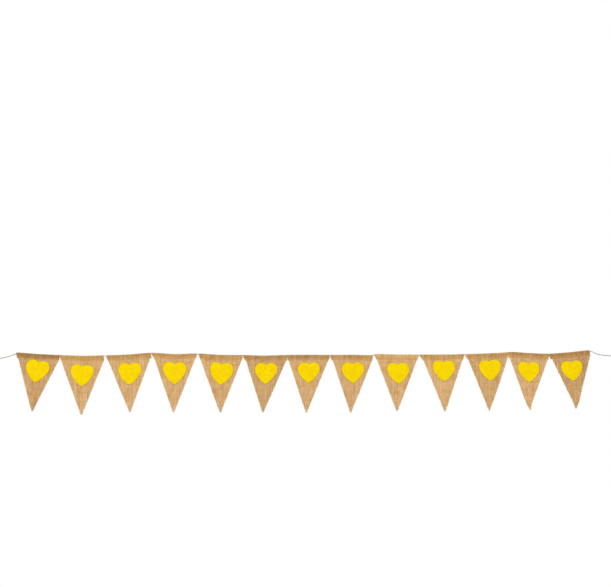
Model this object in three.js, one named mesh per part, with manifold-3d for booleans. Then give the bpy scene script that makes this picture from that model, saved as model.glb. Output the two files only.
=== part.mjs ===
// Bunting of thirteen hessian pennants with felt hearts, threaded on one jute twine.
// Millimetres, +Z up. The twine runs along X, the hearts face -Y.
// The origin is on the line of the twine, at the middle of the row of pennants.

import * as THREE from "three";
import { mergeVertices } from "three/addons/utils/BufferGeometryUtils.js";
import Module from "manifold-3d";

// Cloth, felt and twine
const CLOTH = 1.2; // thickness of the hessian
const FELT = 1.2; // thickness of a heart
const TWINE = 2.5; // diameter of the twine
const TWINE_FIT = 0.4; // air between the twine and its casing
const HEART_FIT = 0.45; // air between a heart and its pennant
const LAYER_FIT = 0.5; // air between the front and the folded back of a casing

// The fold that makes the casing
const CASING = 17; // depth of the folded back
const SHOULDER = 15; // depth at which the slanted sides start
const CORNER_CURVE = 1.8; // how roundly a corner runs into its side: 1 is straight
const PEEK_CURVE = 2; // the same for the folded back
const NARROW = 11; // depth over which the tunnel closes below the twine
const FOLD_STEPS = 5; // flats over the top of the twine

// The hanging cloth
const TIP_WIDTH = 3; // blunt end of a pennant
const COLUMNS = 8; // strips across a pennant
const FREE_DEPTH = 50; // depth at which the cloth hangs freely
const WAVE_LENGTH = 95; // distance between two soft flutes
const CURL_START = 0.55; // share of the drop where the tip starts to curl
const HOOK_START = 0.82; // share of the drop where the tip starts to bend aside
const FRONT_ROWS = [1, 0.93, 0.8, 0.64, 0.48, 0.34, 0.2]; // shares of the drop, from the tip up
const CASING_ROWS = [SHOULDER, 9, 4, 0]; // depths, from the shoulder up
const BACK_ROWS = [4, 9, CASING]; // depths, from the fold down

// The row of pennants: the left corner of the first, then one row for each pennant.
// gap: distance to the pennant before. width: corner to corner. left, right: how far the corners stand out
// past the sides at the shoulder. peekL, peekR: how far the folded back shows past the sides.
// drop, sway: from the middle of the twine line to the tip, down and to the right.
// hook: sideways bend of the tip. belly, twist, curl, wave: forward shape of the cloth. shift: turn of its flutes.
const FIRST_CORNER = -988;
const PENNANTS = table(
  "gap width left right peekL peekR drop  sway hook belly twist curl wave shift",
  [
    [0, 149, 8, 0.5, 4.5, 1, 196, -20.5, 0, 4, 3, -4, 0.8, 0.1],
    [1, 151.5, 4.5, 0, 1, 1, 201, -0.5, 0, 5, -2, 4, -0.7, 0.4],
    [9, 153.5, 6.5, 2, 2, 5, 197, 4.5, 0, 3, 3, -3, 0.8, 0.7],
    [2.5, 156, 9.5, 5, 1, 1, 199, -2, 0, 4, -3, 5, 0.7, 0.2],
    [7.5, 150.5, 4.5, 3, 1, 1, 196, -1.5, 0, 5, 2, 3, -0.8, 0.5],
    [1, 152, 11, 1.5, 2.5, 3.5, 194, -7, 0, 3, -2, -4, 0.8, 0.9],
    [1, 147.5, 5.5, 5.5, 4.5, 3, 197, -8, 0, 4, 3, 4, -0.7, 0.3],
    [1, 147, 9, 2.5, 5.5, 1, 197, -3.5, 0, 4, -3, 3, 0.7, 0.6],
    [6, 151, 7.5, 5, 2, 1, 193, 1.5, 0, 5, 2, -3, 0.8, 0.0],
    [6, 152, 10, 6, 1.5, 1, 194, 9.5, 0, 4, -2, 4, -0.7, 0.8],
    [4.5, 145.5, 8, 0, 1, 1, 195, 10, 0, 4, 3, -4, 0.8, 0.35],
    [1, 140.5, 4.5, 2.5, 2, 3.5, 193, 1.5, 4, 4, 2, 6, -0.8, 0.55],
    [1, 140, 7.5, -0.5, 6.5, 1, 192, 25.5, -4, 3, -4, 7, 0.7, 0.15],
  ],
);

// The hearts, one row for each pennant.
// across, down: centre of the heart from the pennant's centre line and from the twine.
// width: lobe to lobe. turn: degrees clockwise, seen from the front.
const HEARTS = table("across down width turn", [
  [0.5, 52, 82.5, 6],
  [0, 60, 80.5, 2],
  [1, 59, 80.5, 3],
  [0.5, 58, 82.5, 1],
  [2, 57, 82.5, 4],
  [2, 54, 77.5, 0],
  [2.5, 54, 76.5, -1],
  [3, 54, 77.5, -2],
  [4.5, 57, 77.5, -2],
  [1.5, 49, 77.5, 1],
  [6, 51, 77.5, -2],
  [0, 58, 75, -3],
  [-2, 57, 75, 1],
]);

// Outline of a heart of width 1, from the notch round the right lobe to the point.
const HEART = {
  notch: 0.108, // depth of the notch
  side: 0.29, // depth of the widest place
  height: 0.945, // depth of the point
  centre: 0.42, // depth of the point that a heart is placed and turned by
  point: 0.018, // half the width of the rounded point
};
const HEART_POINTS = 5; // points for each of the four curves
const HEART_RINGS = [0.35, 0.7, 1]; // shares of the outline's size

// Route of the twine between its two knots, as x and z.
const ROUTE = [
  [-1058, -13.5],
  [-1044, -12.6],
  [-1030, -9.9],
  [-1015, -6.4],
  [-1002.5, -1.8],
  [-994.5, 0.6],
  [-991.5, 2.2],
  [-988.5, 4.4],
  [-915, 0],
  [-838.5, -3.4],
  [-759.5, -6],
  [-680, -4.8],
  [-602.5, -1.8],
  [-523.5, 4.1],
  [-443, 0],
  [-365.5, 1.8],
  [-285, -3],
  [-205, -3.4],
  [-129, -5.5],
  [-53, -3.4],
  [21, -2.8],
  [95, -3],
  [169, -2.6],
  [242.5, -3.4],
  [247.5, -0.8],
  [325, -1.6],
  [403.5, -2],
  [479.5, -1.8],
  [558, -0.4],
  [634.5, 2],
  [688, 4.6],
  [707, 6.3],
  [725, 7],
  [778.5, 3.6],
  [848.5, 1.2],
  [920, 6.2],
  [991.5, 12.6],
  [1000, 9.4],
  [1015, 2.4],
  [1036, -1.7],
  [1063, -4.1],
  [1076, -4.5],
];
const TWINE_SIDES = 8;
const STEPS_PER_POINT = 2;

// A tied end: an eye of twine, a short cut end, and the turns of the knot round both.
// Points are out along the string and up, from the knot.
const EYE = [
  [0, 0],
  [9, 5],
  [21, 7.5],
  [31, 4.5],
  [34.5, -1],
  [30, -6],
  [20, -7.5],
  [9, -4.5],
  [0, 0],
];
const CUT_END = [
  [0, 0],
  [-4, -5],
  [-6, -12],
];
const KNOT = { turns: 3, pitch: 2.2, ring: 1.8, strand: 1.45, lean: 0.2, sides: 6, steps: 8 };

// A table with named columns, as a list of objects.
function table(names, rows) {
  const columns = names.split(/\s+/);
  return rows.map((row) => Object.fromEntries(columns.map((name, i) => [name, row[i]])));
}

// 0 at 0 and below, 1 at 1 and above, smooth between.
function ease(t) {
  return THREE.MathUtils.smoothstep(t, 0, 1);
}

// Materials
const hessian = new THREE.MeshStandardMaterial({ color: 0xd4aa75, roughness: 0.95, side: THREE.DoubleSide });
const felt = new THREE.MeshStandardMaterial({ color: 0xf0cd17, roughness: 0.9 });
const jute = new THREE.MeshStandardMaterial({ color: 0x8f8061, roughness: 0.9 });

// A smooth curve through points in the XZ plane, whose steps are shared out evenly from point to point,
// so that they are short where the points are close.
class Route extends THREE.CatmullRomCurve3 {
  constructor(list) {
    super(list.map(([x, z]) => new THREE.Vector3(x, 0, z)));
    this.steps = STEPS_PER_POINT * (list.length - 1);
  }
  getPointAt(t) {
    return this.getPoint(t);
  }
  getTangentAt(t) {
    return this.getTangent(t);
  }
}
const line = new Route(ROUTE);
const stations = line.getSpacedPoints(line.steps);

// Height of the twine's centre at x.
function lineHeight(x) {
  const next = stations.findIndex((p) => p.x > x);
  const a = stations[next - 1];
  const b = stations[next];
  return THREE.MathUtils.mapLinear(x, a.x, b.x, a.z, b.z);
}

// A cloth of even thickness from an open surface of middle points, as one closed body.
function thicken(points, triangles, thickness) {
  const middle = new THREE.BufferGeometry().setFromPoints(points).setIndex(triangles);
  middle.computeVertexNormals();
  const normals = middle.getAttribute("normal");
  const count = points.length;
  const side = (direction) =>
    points.map((p, i) =>
      new THREE.Vector3().fromBufferAttribute(normals, i).multiplyScalar((direction * thickness) / 2).add(p),
    );
  const faces = [];
  const edges = new Set();
  for (let t = 0; t < triangles.length; t += 3) {
    const [a, b, c] = triangles.slice(t, t + 3);
    faces.push(a, b, c, count + a, count + c, count + b);
    [[a, b], [b, c], [c, a]].forEach(([from, to]) => edges.add(`${from} ${to}`));
  }
  for (const edge of edges) {
    const [from, to] = edge.split(" ").map(Number);
    if (edges.has(`${to} ${from}`)) continue;
    faces.push(to, from, count + from, to, count + from, count + to);
  }
  return new THREE.BufferGeometry().setFromPoints([...side(1), ...side(-1)]).setIndex(faces);
}

// Triangles of a grid of rows and columns of points.
function gridTriangles(rows, columns) {
  const triangles = [];
  for (let i = 0; i + 1 < rows; i++)
    for (let j = 0; j + 1 < columns; j++) {
      const a = i * columns + j;
      triangles.push(a, a + 1, a + columns + 1, a, a + columns + 1, a + columns);
    }
  return triangles;
}

// Triangles of a middle point with closed rings of points round it.
function ringTriangles(count, rings) {
  const triangles = [];
  for (let k = 0; k < count; k++) {
    const next = (k + 1) % count;
    triangles.push(0, 1 + next, 1 + k);
    for (let ring = 1; ring < rings; ring++) {
      const outer = 1 + ring * count;
      const inner = outer - count;
      triangles.push(inner + k, inner + next, outer + next, inner + k, outer + next, outer + k);
    }
  }
  return triangles;
}

// One pennant's frame: where its cloth hangs from and which way it falls.
function frameOf(pennant, leftCorner) {
  const middle = leftCorner + pennant.width / 2;
  const length = Math.hypot(pennant.sway, pennant.drop);
  return { ...pennant, middle, length, lean: pennant.sway / length, fall: pennant.drop / length };
}

// Left and right side of the front cloth at a depth, from the pennant's centre line.
function sidesAt(p, depth) {
  const corners = [-p.width / 2, p.width / 2];
  const shoulders = [-p.width / 2 + p.left, p.width / 2 - p.right];
  const tips = [-TIP_WIDTH / 2, TIP_WIDTH / 2];
  const between = (a, b, t) => a.map((value, i) => THREE.MathUtils.lerp(value, b[i], t));
  if (depth < SHOULDER) return between(corners, shoulders, (depth / SHOULDER) ** CORNER_CURVE);
  return between(shoulders, tips, (depth - SHOULDER) / (p.length - SHOULDER));
}

// Left and right side of the folded back.
function backSidesAt(p, depth) {
  const [left, right] = sidesAt(p, depth);
  const share = (depth / CASING) ** PEEK_CURVE;
  return [left - p.peekL * share, right + p.peekR * share];
}

// How far the hanging cloth stands forward of a flat one.
function forward(p, across, depth) {
  const u = (2 * across) / p.width;
  const share = depth / p.length;
  const curl = Math.max(0, (share - CURL_START) / (1 - CURL_START));
  const flute = Math.sin(2 * Math.PI * (across / WAVE_LENGTH + p.shift));
  const shape =
    p.belly * (1 - u * u) * Math.sin(Math.PI * share) +
    p.twist * u * share +
    p.wave * flute * (1 - share) +
    p.curl * curl * curl;
  return shape * ease(depth / FREE_DEPTH);
}

// Half the distance between the middles of a casing's two layers.
const ROUND = TWINE / 2 + TWINE_FIT + CLOTH / 2;
function halfCasing(depth) {
  const closed = (CLOTH + LAYER_FIT) / 2;
  return closed + (ROUND - closed) * ease(1 - depth / NARROW);
}

// A point of the cloth, from its place across and down the pennant and its distance behind the twine's line.
function place(p, across, depth, behind) {
  const hook = Math.max(0, (depth / p.length - HOOK_START) / (1 - HOOK_START));
  return new THREE.Vector3(
    p.middle + across + depth * p.lean + p.hook * hook * hook,
    behind - forward(p, across, Math.max(0, depth)),
    lineHeight(p.middle + across) - depth * p.fall,
  );
}

// The cloth of a pennant: up the front from the tip, over the twine and down the back.
function pennantCloth(p) {
  const rows = [];
  for (const depth of [...FRONT_ROWS.map((share) => share * p.length), ...CASING_ROWS])
    rows.push({ depth, sides: sidesAt(p, depth), behind: -halfCasing(depth) });
  for (let i = 1; i < FOLD_STEPS; i++) {
    const angle = (Math.PI * i) / FOLD_STEPS;
    rows.push({ depth: -ROUND * Math.sin(angle), sides: sidesAt(p, 0), behind: -ROUND * Math.cos(angle) });
  }
  for (const depth of [0, ...BACK_ROWS])
    rows.push({ depth, sides: backSidesAt(p, depth), behind: halfCasing(depth) });
  const points = rows.flatMap(({ depth, sides: [left, right], behind }) =>
    Array.from({ length: COLUMNS + 1 }, (_, j) =>
      place(p, THREE.MathUtils.lerp(left, right, j / COLUMNS), depth, behind),
    ),
  );
  return thicken(points, gridTriangles(rows.length, COLUMNS + 1), CLOTH);
}

// The outline of a heart of width 1, clockwise from the notch, as three.js curves.
function heartOutline() {
  const { notch, side, height, point } = HEART;
  const shape = new THREE.Shape();
  shape.moveTo(0, -notch);
  shape.bezierCurveTo(0.09, 0, 0.45, 0.07, 0.5, -side);
  shape.bezierCurveTo(0.5, -0.58, 0.145, -0.89, point, -height);
  shape.lineTo(-point, -height);
  shape.bezierCurveTo(-0.145, -0.89, -0.5, -0.58, -0.5, -side);
  shape.bezierCurveTo(-0.45, 0.07, -0.09, 0, 0, -notch);
  return shape.getPoints(HEART_POINTS).slice(0, -1);
}

// A felt heart that follows the front of its pennant.
function heartFelt(p, heart) {
  const outline = heartOutline();
  const centre = new THREE.Vector2(0, -HEART.centre);
  const turn = THREE.MathUtils.degToRad(-heart.turn);
  const flat = [centre];
  for (const ring of HEART_RINGS) outline.forEach((q) => flat.push(centre.clone().lerp(q, ring)));
  const shoulderMiddle = (p.left - p.right) / 2;
  const bend = (shoulderMiddle * (p.length - heart.down)) / (p.length - SHOULDER);
  const points = flat.map((q) => {
    const { x, y } = q.clone().sub(centre).multiplyScalar(heart.width).rotateAround(new THREE.Vector2(), turn);
    const depth = heart.down - y;
    return place(p, bend + heart.across + x, depth, -halfCasing(depth) - CLOTH / 2 - HEART_FIT - FELT / 2);
  });
  return thicken(points, ringTriangles(outline.length, HEART_RINGS.length), FELT);
}

const wasm = await Module();
wasm.setup();

// A closed geometry as a solid that can be joined, and back.
function toSolid(geometry) {
  const bare = geometry.clone();
  bare.deleteAttribute("normal");
  bare.deleteAttribute("uv");
  const merged = mergeVertices(bare, 1e-4);
  return new wasm.Manifold(
    new wasm.Mesh({
      numProp: 3,
      vertProperties: merged.getAttribute("position").array,
      triVerts: new Uint32Array(merged.index.array),
    }),
  );
}
function toGeometry(solid) {
  const { vertProperties, triVerts } = solid.getMesh();
  const geometry = new THREE.BufferGeometry();
  geometry.setAttribute("position", new THREE.BufferAttribute(vertProperties, 3));
  return geometry.setIndex(new THREE.BufferAttribute(triVerts, 1));
}

// A length of twine along a curve.
function strand(curve) {
  const section = new THREE.Shape(
    Array.from({ length: TWINE_SIDES }, (_, i) => {
      const angle = (2 * Math.PI * i) / TWINE_SIDES;
      return new THREE.Vector2(Math.cos(angle), Math.sin(angle)).multiplyScalar(TWINE / 2);
    }),
  );
  return new THREE.ExtrudeGeometry(section, { steps: curve.steps, extrudePath: curve });
}

// The tied end at a point of the string: side is -1 on the left, 1 on the right.
function tiedEnd([x, z], side) {
  const along = (list) => new Route(list.map(([out, up]) => [x + side * out, z + up]));
  const pieces = [strand(along(EYE)), strand(along(CUT_END))];
  for (let i = 0; i < KNOT.turns; i++) {
    const turn = new THREE.TorusGeometry(KNOT.ring, KNOT.strand, KNOT.sides, KNOT.steps);
    turn.rotateY(Math.PI / 2 + (i % 2 ? KNOT.lean : -KNOT.lean));
    turn.translate(x + (i - (KNOT.turns - 1) / 2) * KNOT.pitch, 0, z);
    pieces.push(turn);
  }
  return pieces;
}

// The whole twine, one body from eye to eye.
function twineRun() {
  const pieces = [strand(line), ...tiedEnd(ROUTE[0], -1), ...tiedEnd(ROUTE.at(-1), 1)];
  return toGeometry(pieces.map(toSolid).reduce((whole, piece) => whole.add(piece)));
}

function named(name, geometry, material) {
  const mesh = new THREE.Mesh(geometry, material);
  mesh.name = name;
  return mesh;
}

const bunting = new THREE.Group();
let corner = FIRST_CORNER;
PENNANTS.forEach((row, i) => {
  corner += row.gap;
  const pennant = frameOf(row, corner);
  const number = String(i + 1).padStart(2, "0");
  bunting.add(named(`flag_${number}`, pennantCloth(pennant), hessian));
  bunting.add(named(`heart_${number}`, heartFelt(pennant, HEARTS[i]), felt));
  corner += row.width;
});
bunting.add(named("twine", twineRun(), jute));

export default bunting;
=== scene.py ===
# Looks of a bunting: thirteen woven hessian pennants with felt hearts, threaded on one jute twine.
# The twine's route is in metres. The tables of the cloth are in millimetres, as it was drawn.
# Every yarn is a closed tube, so the weave, the cut edges and the twist of the twine are in the meshes.

import math
from types import SimpleNamespace

import bpy
import numpy as np
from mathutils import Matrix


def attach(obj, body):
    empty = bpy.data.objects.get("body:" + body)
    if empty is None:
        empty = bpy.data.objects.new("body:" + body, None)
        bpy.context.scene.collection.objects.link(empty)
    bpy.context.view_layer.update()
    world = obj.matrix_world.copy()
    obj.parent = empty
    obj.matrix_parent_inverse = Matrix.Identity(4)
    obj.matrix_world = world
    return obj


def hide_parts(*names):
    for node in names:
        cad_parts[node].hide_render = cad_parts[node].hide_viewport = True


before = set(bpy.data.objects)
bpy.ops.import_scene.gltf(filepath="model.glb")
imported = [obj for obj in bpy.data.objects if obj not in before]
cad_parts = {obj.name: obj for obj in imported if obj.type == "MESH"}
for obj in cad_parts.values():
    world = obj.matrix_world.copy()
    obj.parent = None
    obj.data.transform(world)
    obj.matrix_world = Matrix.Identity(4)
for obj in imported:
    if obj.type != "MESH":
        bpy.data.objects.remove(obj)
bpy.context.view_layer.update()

MM = 0.001

# Each piece draws from its own seed. Those of the pennants' pieces have the pennant's number added.
CLOTH_SEED = 20
HEART_SEED = 70
FIBRE_SEED = 100
TWINE_SEED = 120
END_SEEDS = (121, 122)

# Camera: level and straight on
VIEW_WIDTH = 2.108  # what the picture's width shows at the cloth
VIEW_CENTRE = (0.0095, 0.2111)  # x and z in the picture's middle
LENS = 85
SENSOR = 36

# Stage: floor and lights
FLOOR_HEIGHT = -1.2
FLOOR_SIZE = (4.4, 3.2)
FLOOR_COLOUR = (0.86, 0.86, 0.85)
SKY_SEEN = 1.0  # brightness of the plain background
SKY_LIGHT = 0.68  # brightness of the light that it gives
LAMPS = [
    # place, size across, power, colour
    ((-2.0, -3.4, 2.3), 2.6, 93.0, (1.0, 0.985, 0.96)),
    ((2.4, -3.2, 0.9), 3.0, 37.0, (0.97, 0.985, 1.0)),
]

# Route of the twine between its two knots, as x and z in metres
ROUTE = [
    (-1.058, -0.0135),
    (-1.044, -0.0126),
    (-1.030, -0.0099),
    (-1.015, -0.0064),
    (-1.0025, -0.0018),
    (-0.9945, 0.0006),
    (-0.9915, 0.0022),
    (-0.9885, 0.0044),
    (-0.915, 0.0),
    (-0.8385, -0.0034),
    (-0.7595, -0.006),
    (-0.680, -0.0048),
    (-0.6025, -0.0018),
    (-0.5235, 0.0041),
    (-0.443, 0.0),
    (-0.3655, 0.0018),
    (-0.285, -0.003),
    (-0.205, -0.0034),
    (-0.129, -0.0055),
    (-0.053, -0.0034),
    (0.021, -0.0028),
    (0.095, -0.003),
    (0.169, -0.0026),
    (0.2425, -0.0034),
    (0.2475, -0.0008),
    (0.325, -0.0016),
    (0.4035, -0.002),
    (0.4795, -0.0018),
    (0.558, -0.0004),
    (0.6345, 0.002),
    (0.688, 0.0046),
    (0.707, 0.0063),
    (0.725, 0.007),
    (0.7785, 0.0036),
    (0.8485, 0.0012),
    (0.920, 0.0062),
    (0.9915, 0.0126),
    (1.000, 0.0094),
    (1.015, 0.0024),
    (1.036, -0.0017),
    (1.063, -0.0041),
    (1.076, -0.0045),
]
ROUTE_STEPS = 16  # for each point

# The tied ends, in millimetres out along the string and up, from the knot
EYE = [(0, 0), (9, 5), (21, 7.5), (31, 4.5), (34.5, -1), (30, -6), (20, -7.5), (9, -4.5), (0, 0)]
CUT_END = [(0, 0), (-4, -5), (-6, -12)]
KNOT = SimpleNamespace(turns=3, pitch=2.2, ring=2.0, steps=24)

# Twine, in millimetres
TWINE = 2.5
TWINE_FIT = 0.4
PLIES = 3
PLY_TURN = 10.0  # length of one turn of the plies
PLY_STEPS = 7  # steps in one turn
TWINE_SIDES = 6  # of each ply

# A ply's distance out, half width and half thickness, as shares of a quarter of the twine
STRING_PLY = (1.02, 1.12, 0.95)
KNOT_PLY = (1.0, 1.1, 0.95)

# How uneven the twine is: an amount, and the distance over which it changes
TWIST_UNEVEN = (0.25, 30)
PLY_UNEVEN = (0.12, 9)
PLY_LIMITS = (0.75, 1.2)
PLY_TONE = 0.3  # how much one ply differs from the next
STRING_TONE = (0.6, 12)
KNOT_TONE = (0.5, 9)

# Cloth, in millimetres
CLOTH = 1.2
LAYER_FIT = 0.5
CASING = 17
SHOULDER = 15
CORNER_CURVE = 1.8  # how roundly a corner runs into its side
PEEK_CURVE = 2  # the same for the folded back
NARROW = 8  # depth over which the tunnel closes below the twine
TIP_WIDTH = 3
FREE_DEPTH = 50
WAVE_LENGTH = 95
CURL_START = 0.55
HOOK_START = 0.82
ROUND = TWINE / 2 + TWINE_FIT + CLOTH / 2
FOLD = math.pi * ROUND

# Yarns of the weave, in millimetres
PITCH = 2.5
WARP_WIDE = 1.13  # half the width of an upright yarn
WEFT_WIDE = 0.62  # half the width of a level yarn
YARN_THICK = 0.3  # half their thickness, and how far they go over and under
YARN_SIDES = 4
GRID_START = 1.5 * PITCH  # how far past the folded edge the grid of crossings starts
GRID_SPARE = 2 * PITCH  # how far past the other edges it goes
SHORT_STEP = 0.1  # a step along the cloth or off it, which gives its direction there
EDGE_INSET = 0.6  # how far inside the cut edge the fraying starts
LEAST_END = 0.3  # the shortest whole end, and the shortest frayed one
FRAY = 1.2  # usual length of a frayed end
LONGEST_FRAY = 4.5
FRAY_ASIDE = 0.3  # how far a frayed end strays, as a share of its length
FRAY_LIFT = 0.3
TIP_SHARE = 0.25  # width of a frayed tip, as a share of the yarn
END_SHARE = 0.85  # width where the fraying starts

# How uneven the weave is, in millimetres
SKEW = 0.008  # slope of the level yarns
BOW = 0.6  # how far they bow at the sides
ROW_UNEVEN = 0.1  # a whole level yarn
COLUMN_UNEVEN = 0.065  # a whole upright yarn
DRIFT = 0.02  # an upright yarn, from one crossing to the next
CROSSING_UNEVEN = 0.05  # each crossing, up or down

# How uneven the yarns are: shares and tones, some with the distance over which they change
YARN_UNEVEN = (0.05, 14)
YARN_ROUGH = 0.03
YARN_LIMITS = (0.8, 1.2)
THICK_LIMITS = (0.8, 1.1)
WARP_TONE = 0.26  # how much one upright yarn differs from the next
WEFT_TONE = 0.48  # the same for the level yarns
PATCH_TONE = (0.56, 22)

# The row of pennants: the left corner of the first, then one row for each pennant
FIRST_CORNER = -988


def table(names, rows):
    """A table with named columns, as a list of records."""
    return [SimpleNamespace(**dict(zip(names.split(), row))) for row in rows]


PENNANTS = table(
    "gap width left right peek_l peek_r drop sway hook belly twist curl wave shift",
    [
        (0, 149, 8, 0.5, 4.5, 1, 196, -20.5, 0, 4, 3, -4, 0.8, 0.1),
        (1, 151.5, 4.5, 0, 1, 1, 201, -0.5, 0, 5, -2, 4, -0.7, 0.4),
        (9, 153.5, 6.5, 2, 2, 5, 197, 4.5, 0, 3, 3, -3, 0.8, 0.7),
        (2.5, 156, 9.5, 5, 1, 1, 199, -2, 0, 4, -3, 5, 0.7, 0.2),
        (7.5, 150.5, 4.5, 3, 1, 1, 196, -1.5, 0, 5, 2, 3, -0.8, 0.5),
        (1, 152, 11, 1.5, 2.5, 3.5, 194, -7, 0, 3, -2, -4, 0.8, 0.9),
        (1, 147.5, 5.5, 5.5, 4.5, 3, 197, -8, 0, 4, 3, 4, -0.7, 0.3),
        (1, 147, 9, 2.5, 5.5, 1, 197, -3.5, 0, 4, -3, 3, 0.7, 0.6),
        (6, 151, 7.5, 5, 2, 1, 193, 1.5, 0, 5, 2, -3, 0.8, 0.0),
        (6, 152, 10, 6, 1.5, 1, 194, 9.5, 0, 4, -2, 4, -0.7, 0.8),
        (4.5, 145.5, 8, 0, 1, 1, 195, 10, 0, 4, 3, -4, 0.8, 0.35),
        (1, 140.5, 4.5, 2.5, 2, 3.5, 193, 1.5, 4, 4, 2, 6, -0.8, 0.55),
        (1, 140, 7.5, -0.5, 6.5, 1, 192, 25.5, -4, 3, -4, 7, 0.7, 0.15),
    ],
)

# Tone of each pennant's hanging cloth, and painted shade on its casing, where the double cloth lets less
# light through: 0 is even, -1 a fifth darker
TONES_AND_CASING_SHADE = table(
    "cloth casing",
    [
        (-0.4, -1.8),
        (0.1, -0.2),
        (0.2, -0.6),
        (0.2, -0.5),
        (0.1, -0.5),
        (-0.4, -1.2),
        (0.1, -1.0),
        (0.1, -0.8),
        (0.2, 0.6),
        (0.3, -0.5),
        (-0.1, -0.4),
        (0.2, -0.8),
        (-0.6, -1.1),
    ],
)
CASING_SHADE_END = 11.0  # depth in the middle of the change from the casing's painted shade to the hanging cloth's tone
CASING_SHADE_BLEND = 14.0  # length of that change

HEARTS = table(
    "across down width turn",
    [
        (0.5, 52, 82.5, 6),
        (0, 60, 80.5, 2),
        (1, 59, 80.5, 3),
        (0.5, 58, 82.5, 1),
        (2, 57, 82.5, 4),
        (2, 54, 77.5, 0),
        (2.5, 54, 76.5, -1),
        (3, 54, 77.5, -2),
        (4.5, 57, 77.5, -2),
        (1.5, 49, 77.5, 1),
        (6, 51, 77.5, -2),
        (0, 58, 75, -3),
        (-2, 57, 75, 1),
    ],
)

# Hearts, as shares of their width
HEART = SimpleNamespace(notch=0.108, side=0.29, height=0.945, centre=0.42, point=0.018)
HEART_STEPS = 26  # for each of the four curves
HEART_RINGS = [0.08, 0.2, 0.33, 0.46, 0.59, 0.71, 0.82, 0.9, 0.95, 0.972, 0.986, 0.995]
RIM_START = 0.95  # share of the outline where the felt's edge starts to round off
OUTLINE_UNEVEN = (0.0025, 1.5)  # the second is in points of the outline

# Felt, in millimetres
FELT = 1.2
FELT_ROUGH = 0.04
HEART_LIFT = 1.4  # from the middle of the cloth to the middle of the felt

# The seam under the twine, in millimetres
SEAM_DEPTH = 13.5
SEAM_INSET = 1.5
STITCH = 3.4
STITCH_SHARES = (0.0, 0.16, 0.5, 0.84)  # places of the thread's rings along a stitch
THREAD = 0.26  # half the thickness of the sewing thread
THREAD_SUNK = 0.1  # height at which it goes through the cloth
THREAD_TOP = 2 * YARN_THICK + 0.8 * THREAD  # height at which it lies on the cloth
THREAD_SHOULDER = 0.9  # share of that height beside the holes

# Hairs that stand out of yarns and felt, in millimetres
HAIR = 0.05
HAIR_TAPER = (1.3, 0.8, 0.3)  # its thickness at the root, half way and at the end
HAIR_BEND = 0.3
MOST_BEND = 0.48
HAIR_TONE = (0.8, 0.4)  # usual tone, and how much it varies
HAIR_SHARES = (0.0, 0.5, 1.0)  # places of its rings
NO_HAIR_WAY = (0.3, 0.5, 0.8)  # a direction that no hair has, from which its sides are worked out

CLOTH_HAIRS = 240
CLOTH_HAIR_LENGTHS = (1.0, 3.6)
CLOTH_HAIR_HIGH = 1.5  # above 1 there are more of them near the top
CLOTH_HAIR_EDGE = 0.5  # below 1 there are more of them near the sides
CLOTH_HAIR_OUT = (0.35, 0.3)  # how steeply they leave the cloth: the least, and how much more some do
HAIRLESS_TIP = 8

HEART_HAIRS = 110
HEART_HAIR_LENGTHS = (0.7, 2.0)
HEART_HAIR_LIFTS = (-0.4, 0.5)  # lowest and highest, from the middle of the felt
HEART_HAIR_ROOT = 0.995  # share of the way out from the heart's middle
HEART_HAIR_AWAY = 1.02  # share of the way out that they point to
HEART_HAIR_SPREAD = 0.45

TWINE_HAIRS = 500
EYE_HAIRS = 14
TWINE_HAIR_LENGTHS = (0.8, 1.7)
TWINE_HAIR_LEANS = (0.4, 1.6)  # how far along the twine they lean, for each step away from it
TWINE_HAIR_ROOT = 0.4  # their distance from the twine's middle, as a share of its width

# Soft creases that the flutes don't give. Across and down give a crease's middle, width is half its width,
# height is how far it stands forward, and turn is in degrees from upright.
CREASES = table(
    "flag across down length width height turn",
    [
        (1, 66, 22, 40, 4, 1.2, 12),
        (1, -40, 60, 60, 7, 0.7, -14),
        (3, 30, 46, 70, 8, 0.6, 10),
        (5, -50, 30, 50, 6, 0.8, -20),
        (6, 12, 120, 90, 6, 0.7, 3),
        (8, 24, 90, 60, 6, 0.6, -12),
        (11, -12, 120, 100, 6, 0.8, -2),
        (12, 10, 110, 90, 5, 0.8, 4),
        (13, -24, 14, 44, 3, 1.0, 2),
        (13, 8, 120, 100, 6, 0.9, -6),
    ],
)

CREASE_START = 0.5  # where they begin, as a share of the depth over which the tunnel closes

# Colours: the value where each one lies, and the colour. Patches, and the painted shade of the felt's
# rounded rim, are multiplied with the tones.
HESSIAN_TONES = [(0.1, (0.36, 0.203, 0.07)), (0.5, (0.70, 0.42, 0.153)), (0.9, (0.93, 0.68, 0.30))]
HESSIAN_PATCHES = [(0.32, (0.92, 0.77, 0.55)), (0.5, (1.0, 1.0, 1.0)), (0.68, (1.0, 0.885, 0.94))]
JUTE_TONES = [(0.1, (0.12, 0.1, 0.052)), (0.5, (0.21, 0.18, 0.108)), (0.9, (0.36, 0.32, 0.21))]
JUTE_PATCHES = [(0.3, (0.93, 0.9, 0.86)), (0.7, (1.0, 1.0, 1.0))]
FELT_TONES = [(0.2, (0.70, 0.46, 0.0015)), (0.5, (0.81, 0.58, 0.002)), (0.8, (0.90, 0.70, 0.006))]
FELT_RIM_SHADE = [(0.0, (1.0, 1.0, 1.0)), (1.0, (0.74, 0.72, 1.0))]
THREAD_COLOUR = (0.62, 0.42, 0.2)

# Noise that makes the colours uneven: scale and detail
HESSIAN_PATCH = (45.0, 4.0)
JUTE_PATCH = (60.0, 4.0)
STREAK = (1.0, 2.0)  # on a map that is stretched by the next two
HESSIAN_STRETCH = (60, 900, 1)
JUTE_STRETCH = (80, 900, 1)
GRAIN = (900.0, 2.0)
FELT_FINE = (1400.0, 4.0)
FELT_WIDE = (90.0, 3.0)

# How far each one moves the value that picks the colour
TONE_MOVES = 0.16  # for a tone of 1
TONE_MIDDLE = 0.5
STREAK_MOVES = 0.5
GRAIN_MOVES = 0.3
FELT_FINE_MOVES = 0.6
FELT_WIDE_MOVES = 0.5
FELT_START = -0.05

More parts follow.
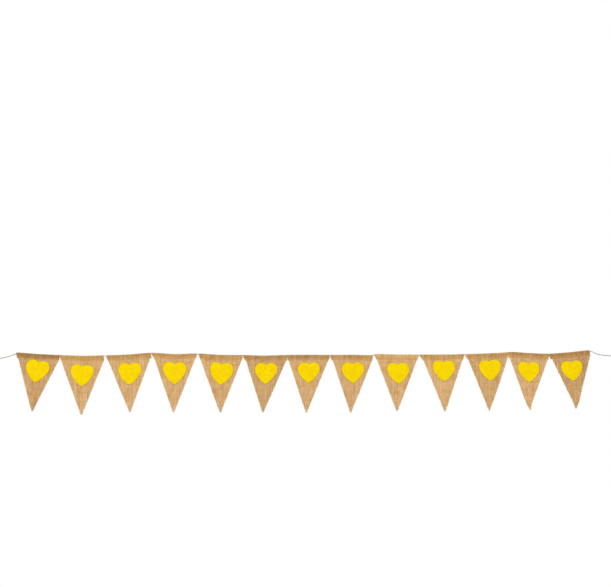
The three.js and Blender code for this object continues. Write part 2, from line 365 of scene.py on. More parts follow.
# Roughness and gloss, and the strength of a surface's relief with its depth in metres
YARN_SHINE = (0.92, 0.15)
FELT_SHINE = (0.9, 0.0)
PLAIN_SHINE = (0.8, 0.2)
YARN_RELIEF = (0.6, 0.0002)
FELT_RELIEF = (0.5, 0.0003)


def ease(t):
    """0 at 0 and below, 1 at 1 and above, smooth between."""
    t = np.clip(t, 0, 1)
    return t * t * (3 - 2 * t)


def unit(vectors):
    """Vectors made 1 long."""
    return vectors / np.linalg.norm(vectors, axis=1)[:, None]


def wander(places, amount, spacing, rng):
    """Smooth noise about 0 along a line of places."""
    knots = np.arange(places.min() - spacing, places.max() + 2 * spacing, spacing)
    return amount * np.interp(places, knots, rng.normal(0, 1, len(knots)))


# Curves


def smooth_curve(points, steps):
    """A smooth curve through points, with the same number of steps from each point to the next."""
    points = np.array(points, float)
    points = np.vstack([2 * points[0] - points[1], points, 2 * points[-1] - points[-2]])
    t = (np.arange(steps) / steps)[:, None]
    made = []
    for a, b, c, d in zip(points, points[1:], points[2:], points[3:]):
        before, own, after = (np.linalg.norm(q - p) ** 0.5 for p, q in ((a, b), (b, c), (c, d)))
        start = ((b - a) / before - (c - a) / (before + own) + (c - b) / own) * own
        end = ((c - b) / own - (d - b) / (own + after) + (d - c) / after) * own
        cubic = 2 * (b - c) + start + end
        square = 3 * (c - b) - 2 * start - end
        made.append(b + start * t + square * t**2 + cubic * t**3)
    return np.vstack([*made, points[-2:-1]])


def lengths_along(line):
    """Distance of each point of a line from its start."""
    return np.concatenate([[0], np.cumsum(np.linalg.norm(np.diff(line, axis=0), axis=1))])


twine_line = smooth_curve([(x, 0, z) for x, z in ROUTE], ROUTE_STEPS) / MM


def line_height(x):
    """Height of the twine's centre at x."""
    return np.interp(x, twine_line[:, 0], twine_line[:, 2])


# The cloth. A run is a distance along it: above 0 it is the depth down the front,
# and below 0 it goes over the twine and down the back.


def pennant_frames():
    """The pennants' rows with where each one hangs from and which way it falls."""
    corner = FIRST_CORNER
    for number, p in enumerate(PENNANTS, 1):
        corner += p.gap
        p.number = number
        p.middle = corner + p.width / 2
        p.length = math.hypot(p.sway, p.drop)
        p.lean = p.sway / p.length
        p.fall = p.drop / p.length
        corner += p.width
    return PENNANTS


def half_casing(depth):
    """Half the distance between the middles of the casing's two layers."""
    closed = (CLOTH + LAYER_FIT) / 2
    return closed + (ROUND - closed) * ease(1 - depth / NARROW)


def sides_at(p, run):
    """Left and right edge of the cloth at a run, from the pennant's centre line."""
    behind = np.clip(-FOLD - run, 0, None)
    depth = np.where(run > 0, run, behind)
    corner = np.clip(depth / SHOULDER, 0, 1) ** CORNER_CURVE
    taper = np.clip((depth - SHOULDER) / (p.length - SHOULDER), 0, 1)
    left = (p.left * corner - p.width / 2) * (1 - taper) - TIP_WIDTH / 2 * taper
    right = (p.width / 2 - p.right * corner) * (1 - taper) + TIP_WIDTH / 2 * taper
    peek = (behind / CASING) ** PEEK_CURVE
    return left - p.peek_l * peek, right + p.peek_r * peek


def crease_height(p, across, depth):
    """How far the pennant's creases stand forward."""
    height = 0 * across
    for c in CREASES:
        if c.flag == p.number:
            turn = math.radians(c.turn)
            x = (across - c.across) * math.cos(turn) + (depth - c.down) * math.sin(turn)
            y = (depth - c.down) * math.cos(turn) - (across - c.across) * math.sin(turn)
            height = height + c.height * np.exp(-((x / c.width) ** 2) - (2 * y / c.length) ** 4)
    return height


def forward(p, across, depth):
    """How far the hanging cloth stands forward of a flat one."""
    u = 2 * across / p.width
    share = depth / p.length
    curl = np.clip((share - CURL_START) / (1 - CURL_START), 0, None)
    flute = np.sin(2 * math.pi * (across / WAVE_LENGTH + p.shift))
    shape = p.belly * (1 - u * u) * np.sin(math.pi * share) + p.twist * u * share
    shape = shape + p.wave * flute * (1 - share) + p.curl * curl**2
    creases = crease_height(p, across, depth) * ease(depth / NARROW - CREASE_START)
    return shape * ease(depth / FREE_DEPTH) + creases


def cloth_point(p, across, run, lift):
    """A point of the cloth, lifted off its middle towards the outside of the fold."""
    angle = np.clip(-run / ROUND, 0, math.pi)
    front, back = run > 0, run < -FOLD
    depth = np.where(front, run, np.where(back, -FOLD - run, -(ROUND + lift) * np.sin(angle)))
    layer = half_casing(np.clip(depth, 0, None)) + lift
    behind = np.where(front, -layer, np.where(back, layer, -(ROUND + lift) * np.cos(angle)))
    hook = np.clip((depth / p.length - HOOK_START) / (1 - HOOK_START), 0, None)
    x = p.middle + across + depth * p.lean + p.hook * hook**2
    y = behind - forward(p, across, np.clip(depth, 0, None))
    z = line_height(p.middle + across) - depth * p.fall
    return np.stack([x, y, z], axis=-1)


# Tubes


class Strands:
    """Rings of closed tubes that are made into one mesh."""

    def __init__(self):
        self.parts = []
        self.count = 0

    def add(self, centre, wide, thick, tone, strand=None):
        """Adds rings: centres, two half axes, a tone and the number of each ring's strand."""
        if strand is None:
            strand = np.zeros(len(centre), int)
        self.parts.append((centre, wide, thick, np.broadcast_to(tone, len(centre)), strand + self.count))
        self.count += int(strand.max()) + 1

    def rings(self):
        return [np.concatenate(column) for column in zip(*self.parts)]


def cap_fan(sides):
    """Corners of the four-cornered faces that close a ring."""
    first = np.arange(1, sides - 1, 2)
    return np.stack([0 * first, first, first + 1, first + 2], axis=-1)


def tube_faces(first, starts, ends, turned, sides):
    """Faces of the walls, in the order of the rings, and then those of the caps."""
    side = np.arange(sides)
    near = first[:, None] * sides + side
    far = first[:, None] * sides + (side + 1) % sides
    walls = np.stack([near, far, far + sides, near + sides], axis=-1)
    walls[turned] = walls[turned][..., ::-1]
    turned_at = dict(zip(first.tolist(), turned.tolist()))
    faces = [walls.reshape(-1, 4)]
    for rings, neighbours, outward in ((starts, starts, False), (ends, ends - 1, True)):
        cap = rings[:, None, None] * sides + cap_fan(sides)
        flip = np.array([turned_at[ring] == outward for ring in neighbours.tolist()])
        cap[flip] = cap[flip][..., ::-1]
        faces.append(cap.reshape(-1, 4))
    return np.concatenate(faces)


# Sizes on a map, in millimetres but for the shares
MAP_SPARE = 1.05  # height of a row, as a share of the tube's girth
MAP_FILLED = 0.92  # share of that height that the walls take
STRAND_GAP = 2.0  # between two strands on a row
MAP_MARGIN = 1.0
CAP_SIZE = 0.4
CAP_STEP = 0.5
CAP_BEFORE = 0.8  # how far before a strand its first caps lie
CAP_AFTER = 0.3  # how far past a strand its last caps lie


def ribbon_places(centre, girth, joined):
    """Places of the rings on one long ribbon of all the strands, cut into rows that fill a square."""
    step = np.linalg.norm(np.diff(centre, axis=0), axis=1)
    along = np.concatenate([[0], np.cumsum(np.where(joined, step, STRAND_GAP))])
    width = math.sqrt(along[-1] * girth)
    row = np.floor(along / width)
    size = width + 2 * step[joined].max() + 2 * MAP_MARGIN
    return along - row * width + MAP_MARGIN, row * girth, size


def tube_map(centre, girth, joined, first, starts, ends, turned, sides):
    """Map of the tubes: walls along the ribbon, and the caps in the gaps between strands."""
    along, height, size = ribbon_places(centre, girth, joined)
    across = np.arange(sides + 1) / sides * MAP_FILLED * girth
    near = along[first]
    far = near + np.linalg.norm(np.diff(centre, axis=0), axis=1)[first]
    u = np.stack([near, near, far, far], axis=-1)
    u = np.broadcast_to(u[:, None], (len(first), sides, 4)).copy()
    v = np.stack([across[:-1], across[1:], across[1:], across[:-1]], axis=-1)
    v = height[first][:, None, None] + v[None]
    u[turned] = u[turned][..., ::-1]
    v[turned] = v[turned][..., ::-1]
    last = np.linalg.norm(centre[ends] - centre[ends - 1], axis=1)
    before = np.stack([along[starts] - CAP_BEFORE, height[starts]], axis=-1)
    after = np.stack([along[ends - 1] + last + CAP_AFTER, height[ends - 1]], axis=-1)
    square = CAP_SIZE * np.array([(0, 0), (1, 0), (1, 1), (0, 1)])
    shift = CAP_STEP * np.array([(0, k) for k in range(len(cap_fan(sides)))])
    maps = [np.stack([u, v], axis=-1).reshape(-1, 2)]
    for origin in (before, after):
        maps.append((origin[:, None, None] + shift[None, :, None] + square).reshape(-1, 2))
    maps = np.concatenate(maps)
    return maps / max(size, maps.max() + MAP_MARGIN / 2)


def tube_mesh(name, strands, sides, material):
    """One mesh of closed tubes with even sides, a map for its yarns and a tone at each point."""
    centre, wide, thick, tone, strand = strands.rings()
    angle = 2 * math.pi * np.arange(sides) / sides
    ring = np.cos(angle)[:, None] * wide[:, None] + np.sin(angle)[:, None] * thick[:, None]
    points = (centre[:, None] + ring).reshape(-1, 3)
    joined = strand[1:] == strand[:-1]
    first = np.flatnonzero(joined)
    starts = np.flatnonzero(np.concatenate([[True], ~joined]))
    ends = np.flatnonzero(np.concatenate([~joined, [True]]))
    turned = np.einsum("ij,ij->i", np.cross(wide, thick)[first], (centre[1:] - centre[:-1])[first]) < 0
    quads = tube_faces(first, starts, ends, turned, sides)
    girth = 2 * math.pi * MAP_SPARE * np.median(np.linalg.norm(wide, axis=1))
    places = tube_map(centre, girth, joined, first, starts, ends, turned, sides)

    mesh = bpy.data.meshes.new(name)
    mesh.vertices.add(len(points))
    mesh.vertices.foreach_set("co", (points * MM).ravel())
    mesh.loops.add(quads.size)
    mesh.loops.foreach_set("vertex_index", quads.ravel())
    mesh.polygons.add(len(quads))
    mesh.polygons.foreach_set("loop_start", np.arange(0, quads.size, 4))
    mesh.update(calc_edges=True)
    mesh.polygons.foreach_set("use_smooth", np.ones(len(quads), bool))
    mesh.uv_layers.new(name="OFBake").data.foreach_set("uv", places.ravel())
    shade = mesh.attributes.new("tone", "FLOAT", "POINT")
    shade.data.foreach_set("value", np.repeat(tone, sides).astype(np.float32))
    mesh.validate()
    mesh.materials.append(material)
    obj = bpy.data.objects.new(name, mesh)
    bpy.context.collection.objects.link(obj)
    return obj


# Yarns of the cloth


def stretches(inside):
    """Start and end of each unbroken run of True in a row."""
    edges = np.flatnonzero(np.diff(np.concatenate([[0], inside.astype(int), [0]])))
    return zip(edges[::2], edges[1::2])


def yarn_end(distance, inner, outer, rng):
    """How far a yarn goes on past its last crossing: to the cut edge, and to the tip of its frayed end."""
    to_edge = PITCH * distance[inner] / (distance[inner] - distance[outer])
    whole = max(LEAST_END, to_edge - EDGE_INSET)
    return whole, whole + LEAST_END + min(rng.exponential(FRAY), LONGEST_FRAY)


def yarn_points(crossings, distance, start, end, way, rng):
    """Across, run and lift of one yarn's crossings from start to end, with a frayed end at each side."""
    points = [tuple(crossing) for crossing in crossings[start:end]]
    for inner, outer in ((start, start - 1), (end - 1, end)):
        whole, tip = yarn_end(distance, inner, outer, rng)
        out = way * (outer - inner)
        root = crossings[inner, :2]
        aside = rng.normal(0, FRAY_ASIDE, 2) * (tip - whole)
        ends = [(*(root + out * whole), 0.0), (*(root + out * tip + aside), rng.normal(0, FRAY_LIFT))]
        points = points + ends if outer > inner else ends[::-1] + points
    return points


def crossing_grid(p, rng):
    """Across and run of each crossing of a pennant's yarns, and how far inside the cut edge it lies."""
    half = p.width / 2 + max(p.peek_l, p.peek_r) + GRID_SPARE
    columns = np.arange(-half, half, PITCH)
    rows = np.arange(-FOLD - CASING - GRID_START, p.length + GRID_SPARE, PITCH)
    skew = rng.normal(0, SKEW)
    bow = rng.normal(0, BOW)
    row_shift = rng.normal(0, ROW_UNEVEN, len(rows))
    across = columns[None] + np.cumsum(rng.normal(0, DRIFT, (len(rows), len(columns))), axis=0)
    across = across + rng.normal(0, COLUMN_UNEVEN, len(columns))[None]
    run = rows[:, None] + row_shift[:, None] + skew * columns[None] + bow * ((columns / half) ** 2)[None]
    run = run + rng.normal(0, CROSSING_UNEVEN, run.shape)
    left, right = sides_at(p, run)
    distance = np.minimum.reduce([across - left, right - across, run + FOLD + CASING, p.length - run])
    return across, run, distance


def weave(p, strands, rng):
    """The warp and weft of one pennant."""
    across, run, distance = crossing_grid(p, rng)
    rows, columns = across.shape
    over = np.where((np.add.outer(np.arange(rows), np.arange(columns)) % 2) == 0, YARN_THICK, -YARN_THICK)
    for upright in (True, False):
        crossings = np.stack([across, run, over if upright else -over], axis=-1)
        depths = distance.T if upright else distance
        if upright:
            crossings = crossings.transpose(1, 0, 2)
        way = np.array([0, 1] if upright else [1, 0])
        gathered, numbers = [], []
        for line, depth in zip(crossings, depths):
            for start, end in stretches(depth > 0):
                points = yarn_points(line, depth, start, end, way, rng)
                numbers += [len(gathered)] * len(points)
                gathered.append(np.array(points))
        add_yarns(p, strands, *np.concatenate(gathered).T, np.array(numbers), upright, rng)


def cloth_tone_and_casing_shade(p, run):
    """Tone of a pennant at a run: the painted shade of its casing runs over into the tone of the hanging
    cloth.
    """
    tones = TONES_AND_CASING_SHADE[p.number - 1]
    share = ease((run - CASING_SHADE_END) / CASING_SHADE_BLEND + 0.5)
    return tones.casing + (tones.cloth - tones.casing) * share


def add_yarns(p, strands, across, run, lift, strand, upright, rng):
    """Adds flattened yarns that follow the cloth, with thick and thin places and a tone for each yarn."""
    line = np.arange(len(across)) * PITCH
    size = 1 + wander(line, *YARN_UNEVEN, rng) + rng.normal(0, YARN_ROUGH, len(line))
    size = np.clip(size, *YARN_LIMITS)
    tone = rng.normal(0, WARP_TONE if upright else WEFT_TONE, strand.max() + 1)[strand]
    # This adds the pennant's cloth tone and the painted shade of its casing.
    tone = tone + wander(line, *PATCH_TONE, rng) + cloth_tone_and_casing_shade(p, run)
    centre = cloth_point(p, across, run, lift)
    aside, down = (SHORT_STEP, 0) if upright else (0, SHORT_STEP)
    beside = cloth_point(p, across + aside, run + down, lift) - centre
    above = cloth_point(p, across, run, lift + SHORT_STEP) - centre
    first = np.concatenate([[True], strand[1:] != strand[:-1]])
    last = np.concatenate([first[1:], [True]])
    beside_tip = np.concatenate([last[1:], [False]]) | np.concatenate([[False], first[:-1]])
    taper = np.where(first | last, TIP_SHARE, np.where(beside_tip, END_SHARE, 1.0))
    half_width = WARP_WIDE if upright else WEFT_WIDE
    wide = unit(beside) * (half_width * size * taper)[:, None]
    thick = unit(above) * (YARN_THICK * np.clip(size, *THICK_LIMITS) * taper)[:, None]
    strands.add(centre, wide, thick, tone, strand)


def hairs(strands, roots, directions, lengths, rng):
    """Adds fine bent hairs, each a tapered tube of a few rings."""
    count = len(roots)
    rings = len(HAIR_SHARES)
    directions = unit(directions)
    bend = np.clip(rng.normal(0, HAIR_BEND, (count, 3)), -MOST_BEND, MOST_BEND)
    shares = np.array(HAIR_SHARES)[None, :, None]
    line = directions[:, None] * shares + bend[:, None] * shares**2
    centre = roots[:, None] + line * lengths[:, None, None]
    wide = unit(np.cross(directions, NO_HAIR_WAY))
    thick = np.cross(directions, wide)
    radius = HAIR * np.array(HAIR_TAPER)
    axes = [(axis[:, None] * radius[None, :, None]).reshape(-1, 3) for axis in (wide, thick)]
    tone = np.repeat(rng.normal(*HAIR_TONE, count), rings)
    strands.add(centre.reshape(-1, 3), *axes, tone, np.repeat(np.arange(count), rings))


def cloth_hairs(p, strands, rng):
    """Stray fibres on both faces of the cloth, most of them near its cut edges."""
    run = rng.uniform(0, 1, CLOTH_HAIRS) ** CLOTH_HAIR_HIGH * (p.length - HAIRLESS_TIP)
    left, right = sides_at(p, run)
    share = rng.beta(CLOTH_HAIR_EDGE, CLOTH_HAIR_EDGE, CLOTH_HAIRS)
    across = left + (right - left) * share
    side = rng.choice([-1.0, 1.0], CLOTH_HAIRS)
    roots = cloth_point(p, across, run, side * YARN_THICK)
    directions = rng.normal(0, 1, (CLOTH_HAIRS, 3))
    least, more = CLOTH_HAIR_OUT
    directions[:, 1] = -side * (least + np.abs(rng.normal(0, more, CLOTH_HAIRS)))
    hairs(strands, roots, directions, rng.uniform(*CLOTH_HAIR_LENGTHS, CLOTH_HAIRS), rng)


def pennant_object(p, material):
    """The woven cloth of one pennant."""
    rng = np.random.default_rng(CLOTH_SEED + p.number)
    strands = Strands()
    weave(p, strands, rng)
    cloth_hairs(p, strands, rng)
    return tube_mesh(f"hessian_{p.number:02d}", strands, YARN_SIDES, material)


# Seams


def seam_object(p, material):
    """The row of stitches that closes the casing, one thread on each side."""
    strands = Strands()
    for run in (SEAM_DEPTH, -FOLD - SEAM_DEPTH):
        left, right = sides_at(p, np.array([run]))
        stitches = int((right[0] - left[0] - 2 * SEAM_INSET) / STITCH)
        starts = left[0] + SEAM_INSET + STITCH * np.arange(stitches)
        across = (starts[:, None] + STITCH * np.array(STITCH_SHARES)).ravel()
        shoulder = THREAD_TOP * THREAD_SHOULDER
        lift = np.tile([THREAD_SUNK, shoulder, THREAD_TOP, shoulder], stitches)
        centre = cloth_point(p, across, np.full(len(across), float(run)), lift)
        down = np.tile([0.0, 0.0, THREAD], (len(across), 1))
        out = np.tile([0.0, THREAD, 0.0], (len(across), 1))
        strands.add(centre, down, out, 0.0)
    return tube_mesh(f"seam_{p.number:02d}", strands, YARN_SIDES, material)


# Felt hearts


def heart_outline():
    """The outline of a heart of width 1, from the notch round the right lobe to the point and back."""
    h = HEART
    curves = [
        [(0, -h.notch), (0.09, 0.0), (0.45, 0.07), (0.5, -h.side)],
        [(0.5, -h.side), (0.5, -0.58), (0.145, -0.89), (h.point, -h.height)],
    ]
    t = (np.arange(HEART_STEPS) / HEART_STEPS)[:, None]
    made = []
    for a, b, c, d in np.array(curves):
        made.append((1 - t) ** 3 * a + 3 * (1 - t) ** 2 * t * b + 3 * (1 - t) * t**2 * c + t**3 * d)
    right = np.vstack([*made, [(h.point, -h.height)]])
    left = right[:0:-1] * (-1, 1)
    return np.vstack([right, left])


def heart_point(p, heart, flat, lift):
    """A point of a heart of width 1, laid on the front of its pennant."""
    x, y = ((flat - (0, -HEART.centre)) * heart.width).T
    turn = math.radians(-heart.turn)
    x, y = x * math.cos(turn) - y * math.sin(turn), x * math.sin(turn) + y * math.cos(turn)
    bend = (p.left - p.right) / 2 * (p.length - heart.down) / (p.length - SHOULDER)
    return cloth_point(p, bend + heart.across + x, heart.down - y, lift)


def heart_object(p, heart, material):
    """A felt heart: two faces of rings round its middle, joined at the middle of the rounded edge."""
    rng = np.random.default_rng(HEART_SEED + p.number)
    centre = np.array([(0, -HEART.centre)])
    outline = heart_outline() - centre
    count = len(outline)
    outline = centre + outline * (1 + wander(np.arange(count), *OUTLINE_UNEVEN, rng)[:, None])
    rings = np.array(HEART_RINGS)
    rim = np.clip((rings - RIM_START) / (1 - RIM_START), 0, 1)
    flat = np.vstack([centre, *(centre + (outline - centre) * share for share in rings)])
    swell = np.concatenate([[1.0], np.repeat(np.sqrt(1 - rim**2), count)]) * FELT / 2
    size = len(flat)
    points, faces = [], []
    k = np.arange(count)
    following = (k + 1) % count
    for side in (1, -1):
        base = 0 if side > 0 else size
        rough = rng.normal(0, FELT_ROUGH, size)
        points.append(heart_point(p, heart, flat, HEART_LIFT + side * (swell + rough)))
        starts = [base + 1 + ring * count for ring in range(len(rings))] + [2 * size]
        walls = [np.stack([base + 0 * k, starts[0] + following, starts[0] + k], axis=-1)]
        for inner, outer in zip(starts, starts[1:]):
            walls.append(np.stack([inner + k, inner + following, outer + following, outer + k], axis=-1))
        faces += [face[::side] for wall in walls for face in wall.tolist()]
    points.append(heart_point(p, heart, outline, HEART_LIFT + 0 * k))
    edge = np.concatenate([[0.0], np.repeat(rim, count)])
    obj = bpy.data.objects.new(f"felt_heart_{p.number:02d}", bpy.data.meshes.new("felt_heart"))
    obj.data.from_pydata((np.vstack(points) * MM).tolist(), [], faces)
    obj.data.polygons.foreach_set("use_smooth", np.ones(len(faces), bool))
    # The rim attribute carries painted shade onto the felt's rounded edge.
    shade = obj.data.attributes.new("rim", "FLOAT", "POINT")
    shade.data.foreach_set("value", np.concatenate([edge, edge, np.ones(count)]))
    obj.data.materials.append(material)
    bpy.context.collection.objects.link(obj)
    return obj


def heart_fibres(p, heart, material):
    """Stray fibres at the cut edge of a heart."""
    rng = np.random.default_rng(FIBRE_SEED + p.number)
    outline = heart_outline()
    edge = outline[rng.integers(0, len(outline), HEART_HAIRS)]
    lift = HEART_LIFT + rng.uniform(*HEART_HAIR_LIFTS, HEART_HAIRS)
    centre = np.array([0, -HEART.centre])
    roots = heart_point(p, heart, centre + (edge - centre) * HEART_HAIR_ROOT, lift)
    away = unit(heart_point(p, heart, centre + (edge - centre) * HEART_HAIR_AWAY, lift) - roots)
    directions = away + rng.normal(0, HEART_HAIR_SPREAD, away.shape)
    strands = Strands()
    hairs(strands, roots, directions, rng.uniform(*HEART_HAIR_LENGTHS, HEART_HAIRS), rng)
    return tube_mesh(f"felt_fibres_{p.number:02d}", strands, YARN_SIDES, material)


# Twine


def add_ply(strands, line, axes, phase, shape, size, tone):
    """Adds one ply that is wound round a line, at its phase from the first of two axes across the line."""
    out, up = axes
    radial = np.cos(phase)[:, None] * out + np.sin(phase)[:, None] * up
    aside = np.cos(phase)[:, None] * up - np.sin(phase)[:, None] * out
    away, wide, thick = np.array(shape) * TWINE / 4
    strands.add(line + radial * away, aside * wide * size, radial * thick * size, tone)


def ply_phase(along, k):
    """Phase of a ply along a twine."""
    return 2 * math.pi * (along / PLY_TURN + k / PLIES)


def add_string(strands, line, rng):
    """Adds the plies of a twine that follows a line in the XZ plane, in millimetres."""
    lengths = lengths_along(line)
    count = int(lengths[-1] / PLY_TURN * PLY_STEPS)
    along = np.linspace(0, lengths[-1], count)
    centre = np.column_stack([np.interp(along, lengths, line[:, axis]) for axis in range(3)])
    out = np.tile([0.0, 1.0, 0.0], (count, 1))
    up = np.cross(unit(np.gradient(centre, axis=0)), out)
    for k in range(PLIES):
        phase = ply_phase(along, k) + wander(along, *TWIST_UNEVEN, rng)
        size = np.clip(1 + wander(along, *PLY_UNEVEN, rng), *PLY_LIMITS)[:, None]
        tone = rng.normal(0, PLY_TONE) + wander(along, *STRING_TONE, rng)
        add_ply(strands, centre, (out, up), phase, STRING_PLY, size, tone)


def add_winding(strands, line, rng):
    """Adds the plies of a twine that is wound round a knot."""
    tangent = unit(np.gradient(line, axis=0))
    beside = np.array([[1.0, 0.0, 0.0]]) - tangent * tangent[:, :1]
    beside = unit(beside)
    out = np.cross(tangent, beside)
    along = lengths_along(line)
    for k in range(PLIES):
        tone = rng.normal(0, PLY_TONE) + wander(along, *KNOT_TONE, rng)
        add_ply(strands, line, (out, beside), ply_phase(along, k), KNOT_PLY, 1.0, tone)


def twine_hairs(strands, line, count, rng):
    """Stray fibres along a twine."""
    pick = rng.integers(2, len(line) - 2, count)
    angle = rng.uniform(0, 2 * math.pi, count)
    away = np.stack([0 * angle, np.cos(angle), np.sin(angle)], axis=-1)
    tangent = unit(line[pick + 1] - line[pick - 1])
    way = rng.choice([-1.0, 1.0], count)[:, None]
    lean = way * tangent * rng.uniform(*TWINE_HAIR_LEANS, count)[:, None]
    roots = line[pick] + away * TWINE * TWINE_HAIR_ROOT
    hairs(strands, roots, away + lean, rng.uniform(*TWINE_HAIR_LENGTHS, count), rng)


def twine_object(material):
    """The twine between its two knots."""
    rng = np.random.default_rng(TWINE_SEED)
    strands = Strands()
    add_string(strands, twine_line, rng)
    twine_hairs(strands, twine_line, TWINE_HAIRS, rng)
    return tube_mesh("jute_twine", strands, TWINE_SIDES, material)


def tied_end(name, knot, side, material, seed):
    """An eye of twine, its short cut end, and the turns of the knot round both."""
    rng = np.random.default_rng(seed)
    strands = Strands()
    for outline in (EYE, CUT_END):
        line = smooth_curve([(knot[0] + side * x, 0, knot[2] + z) for x, z in outline], ROUTE_STEPS)
        add_string(strands, line, rng)
        twine_hairs(strands, line, EYE_HAIRS, rng)
    angle = np.linspace(0, 2 * math.pi * KNOT.turns, KNOT.turns * KNOT.steps)
    across = (angle / (2 * math.pi) - KNOT.turns / 2) * KNOT.pitch
    turns = [knot[0] + across, KNOT.ring * np.cos(angle), knot[2] + KNOT.ring * np.sin(angle)]
    add_winding(strands, np.column_stack(turns), rng)
    return tube_mesh(name, strands, TWINE_SIDES, material)


# Materials


def new_material(name, roughness, gloss):
    """A material with its nodes, links and shader."""
    material = bpy.data.materials.new(name)
    material.use_nodes = True
    nodes, links = material.node_tree.nodes, material.node_tree.links
    shader = nodes["Principled BSDF"]
    shader.inputs["Roughness"].default_value = roughness
    shader.inputs["Specular IOR Level"].default_value = gloss
    return material, nodes, links, shader


def node(nodes, kind, **settings):
    """A new node with its settings."""
    made = nodes.new(kind)
    for name, value in settings.items():
        setattr(made, name, value)
    return made


def ramp(nodes, stops):
    """A colour ramp."""
    made = nodes.new("ShaderNodeValToRGB")
    elements = made.color_ramp.elements
    while len(elements) < len(stops):
        elements.new(0.5)
    for element, (place, colour) in zip(elements, stops):
        element.position = place
        element.color = (*colour, 1)
    return made


def noise(nodes, links, vector, scale, detail):
    """Noise from 0 to 1."""
    made = nodes.new("ShaderNodeTexNoise")
    made.inputs["Scale"].default_value = scale
    made.inputs["Detail"].default_value = detail
    links.new(vector, made.inputs["Vector"])
    return made.outputs["Fac"]


def multiplied(nodes, links, a, b):
    """The product of two colours."""
    made = node(nodes, "ShaderNodeMix", data_type="RGBA", blend_type="MULTIPLY")
    made.inputs["Factor"].default_value = 1.0
    links.new(a, made.inputs["A"])
    links.new(b, made.inputs["B"])
    return made.outputs["Result"]


def sum_of(nodes, links, value, factor, offset):
    """A value times a factor, plus an offset that is a number or a value."""
    made = node(nodes, "ShaderNodeMath", operation="MULTIPLY_ADD")
    links.new(value, made.inputs[0])
    made.inputs[1].default_value = factor
    if isinstance(offset, float):
        made.inputs[2].default_value = offset
    else:
        links.new(offset, made.inputs[2])
    return made.outputs[0]


def roughened(nodes, links, value, added, depth):
    """A value with noise added to it that is 0 on average."""
    return sum_of(nodes, links, added, depth, sum_of(nodes, links, value, 1.0, -depth / 2))


def add_bump(nodes, links, shader, height, strength, distance):
    """Low relief from a height."""
    bump = node(nodes, "ShaderNodeBump")
    bump.inputs["Strength"].default_value = strength
    bump.inputs["Distance"].default_value = distance
    links.new(height, bump.inputs["Height"])
    links.new(bump.outputs["Normal"], shader.inputs["Normal"])


def yarn_material(name, tones, patch_colours, stretched, patch):
    """Fibres of jute: a tone for each yarn, patches of uneven colour, and fine streaks along the yarn."""
    material, nodes, links, shader = new_material(name, *YARN_SHINE)
    place = node(nodes, "ShaderNodeTexCoord").outputs["Object"]
    # The tone attribute holds each yarn's own tone and, on the hessian, the casing's painted shade.
    tone = node(nodes, "ShaderNodeAttribute", attribute_name="tone").outputs["Fac"]
    strip = node(nodes, "ShaderNodeUVMap", uv_map="OFBake").outputs["UV"]
    stretch = node(nodes, "ShaderNodeMapping")
    stretch.inputs["Scale"].default_value = stretched
    links.new(strip, stretch.inputs["Vector"])
    streaks = noise(nodes, links, stretch.outputs["Vector"], *STREAK)
    grain = noise(nodes, links, place, *GRAIN)
    value = sum_of(nodes, links, tone, TONE_MOVES, TONE_MIDDLE)
    value = roughened(nodes, links, value, streaks, STREAK_MOVES)
    value = roughened(nodes, links, value, grain, GRAIN_MOVES)
    colours = ramp(nodes, tones)
    links.new(value, colours.inputs["Fac"])
    patches = ramp(nodes, patch_colours)
    links.new(noise(nodes, links, place, *patch), patches.inputs["Fac"])
    colour = multiplied(nodes, links, colours.outputs["Color"], patches.outputs["Color"])
    links.new(colour, shader.inputs["Base Color"])
    add_bump(nodes, links, shader, streaks, *YARN_RELIEF)
    return material


def felt_material():
    """Yellow felt: matted fibres, a little uneven in colour, with painted shade on its rounded cut edge."""
    material, nodes, links, shader = new_material("yellow_felt", *FELT_SHINE)
    place = node(nodes, "ShaderNodeTexCoord").outputs["Object"]
    fine = noise(nodes, links, place, *FELT_FINE)
    wide = noise(nodes, links, place, *FELT_WIDE)
    value = sum_of(nodes, links, fine, FELT_FINE_MOVES, FELT_START)
    value = sum_of(nodes, links, wide, FELT_WIDE_MOVES, value)
    colours = ramp(nodes, FELT_TONES)
    links.new(value, colours.inputs["Fac"])
    # Painted shade on the rounded edge, read from the rim attribute.
    rim = ramp(nodes, FELT_RIM_SHADE)
    edge = node(nodes, "ShaderNodeAttribute", attribute_name="rim").outputs["Fac"]
    links.new(edge, rim.inputs["Fac"])
    colour = multiplied(nodes, links, colours.outputs["Color"], rim.outputs["Color"])
    links.new(colour, shader.inputs["Base Color"])
    add_bump(nodes, links, shader, fine, *FELT_RELIEF)
    return material


def plain_material(name, colour):
    """A material of one colour, for the thread and the floor."""
    material = new_material(name, *PLAIN_SHINE)[0]
    shader = material.node_tree.nodes["Principled BSDF"]
    shader.inputs["Base Color"].default_value = (*colour, 1)
    return material


# Camera, lights and floor


def make_camera():
    """A level camera that looks along +Y."""
    data = bpy.data.cameras.new("camera")
    data.lens = LENS
    data.sensor_width = SENSOR
    camera = bpy.data.objects.new("camera", data)
    camera.location = (VIEW_CENTRE[0], -VIEW_WIDTH * LENS / SENSOR, VIEW_CENTRE[1])
    camera.rotation_euler = (math.pi / 2, 0, 0)
    bpy.context.collection.objects.link(camera)
    bpy.context.scene.camera = camera


def make_sky():
    """A plain white background that lights softly."""
    world = bpy.data.worlds.new("sky")
    world.use_nodes = True
    bpy.context.scene.world = world
    nodes, links = world.node_tree.nodes, world.node_tree.links
    background = nodes["Background"]
    background.inputs["Color"].default_value = (1, 1, 1, 1)
    seen = nodes.new("ShaderNodeLightPath").outputs["Is Camera Ray"]
    strength = sum_of(nodes, links, seen, SKY_SEEN - SKY_LIGHT, SKY_LIGHT)
    links.new(strength, background.inputs["Strength"])


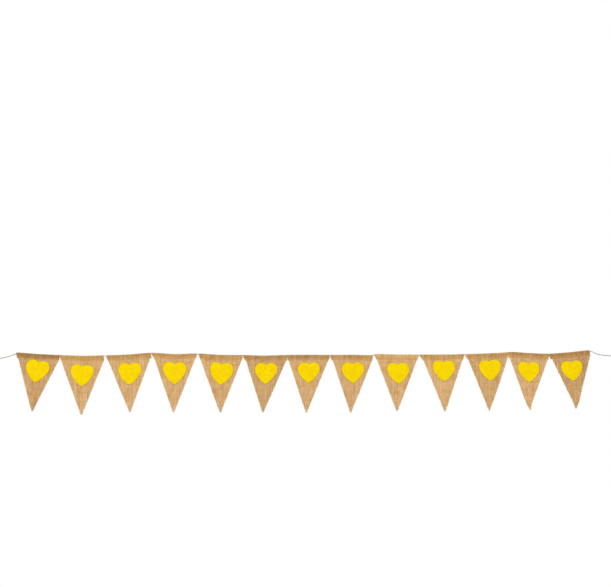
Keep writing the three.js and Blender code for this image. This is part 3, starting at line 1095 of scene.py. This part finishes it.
def make_lamps():
    """Soft square lamps that face the middle of the row."""
    for i, (place, size, power, colour) in enumerate(LAMPS):
        data = bpy.data.lights.new(f"lamp_{i}", "AREA")
        data.shape = "SQUARE"
        data.size = size
        data.energy = power
        data.color = colour
        lamp = bpy.data.objects.new(f"lamp_{i}", data)
        lamp.location = place
        direction = -lamp.location
        lamp.rotation_euler = direction.to_track_quat("-Z", "Y").to_euler()
        bpy.context.collection.objects.link(lamp)


def make_floor():
    """A plain pale floor."""
    x, y = FLOOR_SIZE[0] / 2, FLOOR_SIZE[1] / 2
    corners = [(-x, -y), (x, -y), (x, y), (-x, y)]
    mesh = bpy.data.meshes.new("floor")
    mesh.from_pydata([(a, b, FLOOR_HEIGHT) for a, b in corners], [], [(0, 1, 2, 3)])
    mesh.materials.append(plain_material("pale_floor", FLOOR_COLOUR))
    floor = bpy.data.objects.new("floor", mesh)
    bpy.context.collection.objects.link(floor)


# The pieces of the bunting, each attached to its body and given its material, in place of the model's part,
# which is hidden


def add_twine(jute):
    """The twine with its tied ends, in place of the model's twine, which is hidden."""
    twine = twine_object(jute)
    left_end = tied_end("tied_end_left", twine_line[0], -1, jute, END_SEEDS[0])
    right_end = tied_end("tied_end_right", twine_line[-1], 1, jute, END_SEEDS[1])
    for piece in (twine, left_end, right_end):
        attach(piece, "root")
    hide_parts("twine")
    return twine


def add_cloth(p, hessian, thread):
    """A pennant's cloth with its seam, in place of the model's pennant, which is hidden."""
    cloth = pennant_object(p, hessian)
    seam = seam_object(p, thread)
    for piece in (cloth, seam):
        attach(piece, "root")
    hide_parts(f"flag_{p.number:02d}")
    return cloth


def add_heart(p, heart, felt):
    """A felt heart with its stray fibres, in place of the model's heart, which is hidden."""
    shape = heart_object(p, heart, felt)
    fibres = heart_fibres(p, heart, felt)
    for piece in (shape, fibres):
        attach(piece, "root")
    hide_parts(f"heart_{p.number:02d}")


bpy.context.scene.view_settings.view_transform = "Standard"
make_camera()
make_sky()
make_lamps()
make_floor()

hessian = yarn_material("hessian", HESSIAN_TONES, HESSIAN_PATCHES, HESSIAN_STRETCH, HESSIAN_PATCH)
jute = yarn_material("jute_twine", JUTE_TONES, JUTE_PATCHES, JUTE_STRETCH, JUTE_PATCH)
felt = felt_material()
thread = plain_material("thread", THREAD_COLOUR)

twine = add_twine(jute)
for pennant, heart in zip(pennant_frames(), HEARTS):
    cloth = add_cloth(pennant, hessian, thread)
    add_heart(pennant, heart, felt)
